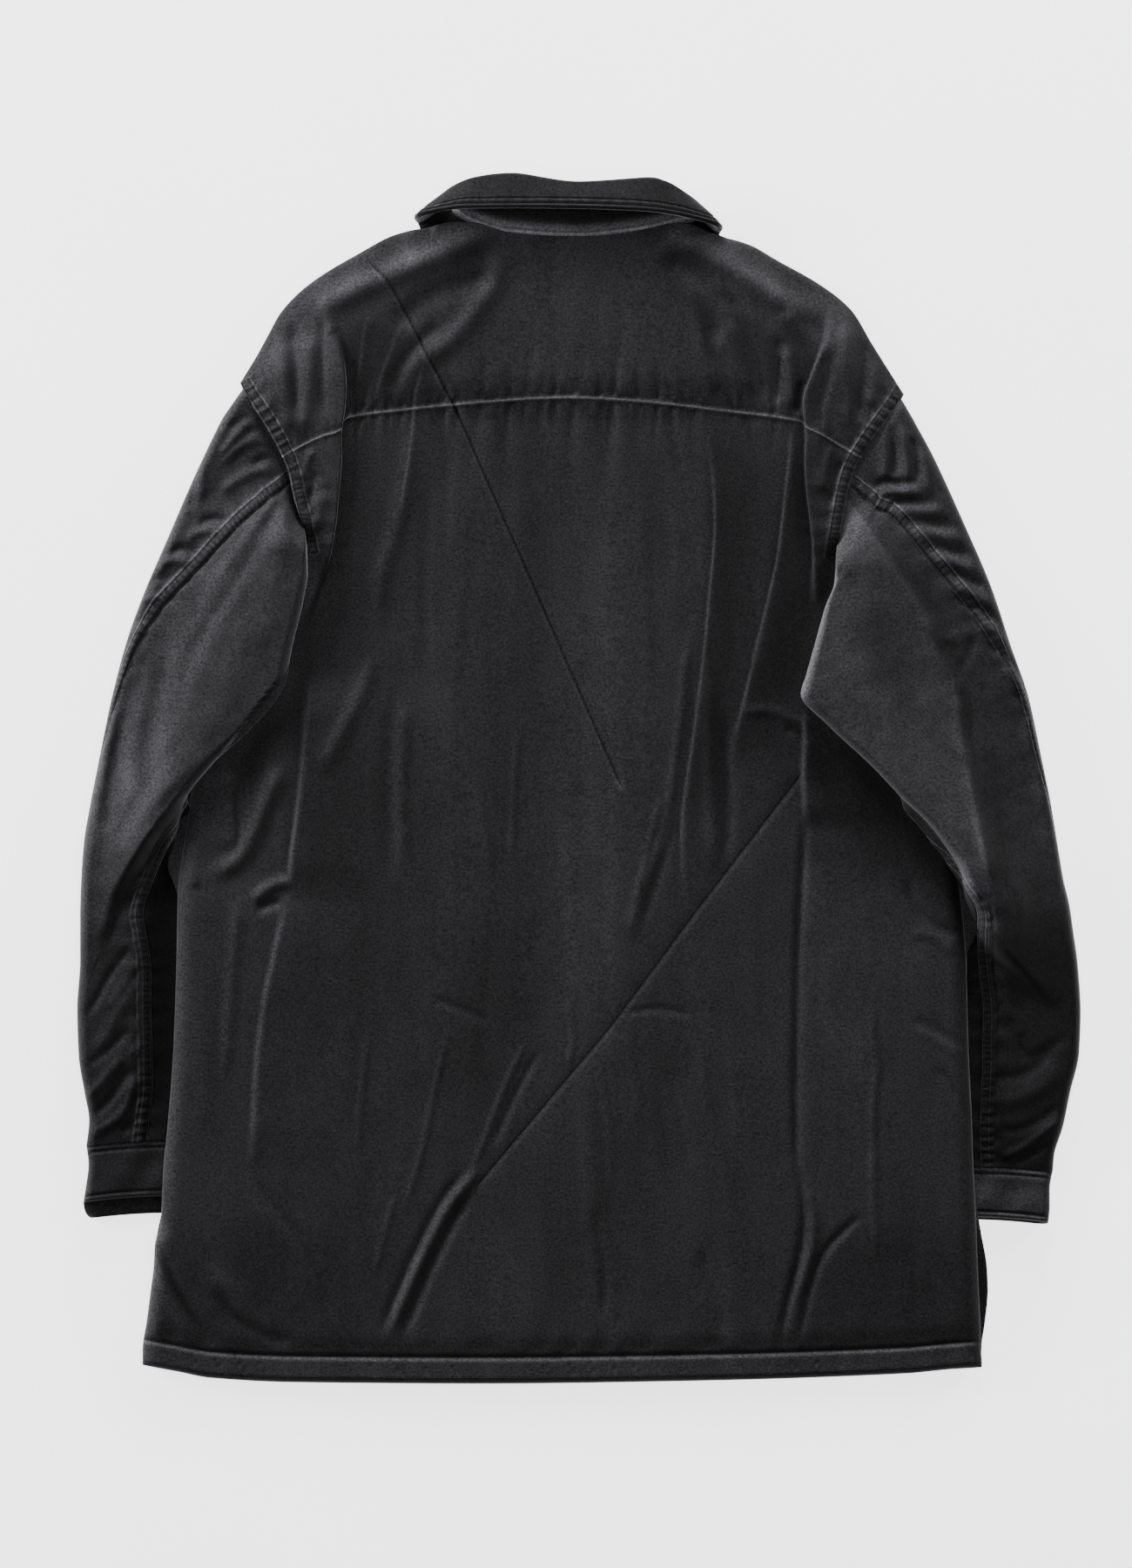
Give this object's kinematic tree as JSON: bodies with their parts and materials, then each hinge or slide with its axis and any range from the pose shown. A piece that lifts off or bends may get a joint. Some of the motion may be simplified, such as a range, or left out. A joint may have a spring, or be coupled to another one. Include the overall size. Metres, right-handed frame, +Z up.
{
  "type": "padded jacket laid face down",
  "caption": "Straight padded velveteen jacket with shoulder yoke, turned-down collar, side vents and cuffed sleeves, laid face down.",
  "frame": {"origin": "on the surface the jacket lies on, below the centre of its bounding box", "axes": "+Y toward the collar, +X toward the wearer's right side, +Z up, out of the jacket's back"},
  "size_m": [0.6925, 0.8337, 0.0492],
  "materials": {
    "velveteen_body": "charcoal cotton velveteen, nap down",
    "velveteen_yoke": "charcoal cotton velveteen",
    "velveteen_front": "charcoal cotton velveteen",
    "velveteen_sleeve": "charcoal cotton velveteen",
    "velveteen_cuff": "charcoal cotton velveteen",
    "velveteen_collar": "charcoal cotton velveteen"
  },
  "bodies": {
    "root": {"back_body": "velveteen_body", "back_yoke": "velveteen_yoke", "front_left": "velveteen_front", "front_right": "velveteen_front", "collar_stand": "velveteen_collar", "collar_leaf": "velveteen_collar", "sleeve_left_outer": "velveteen_sleeve", "sleeve_left_back": "velveteen_sleeve", "sleeve_left_under": "velveteen_sleeve", "cuff_left": "velveteen_cuff", "sleeve_right_outer": "velveteen_sleeve", "sleeve_right_back": "velveteen_sleeve", "sleeve_right_under": "velveteen_sleeve", "cuff_right": "velveteen_cuff"}
  },
  "joints": []
}
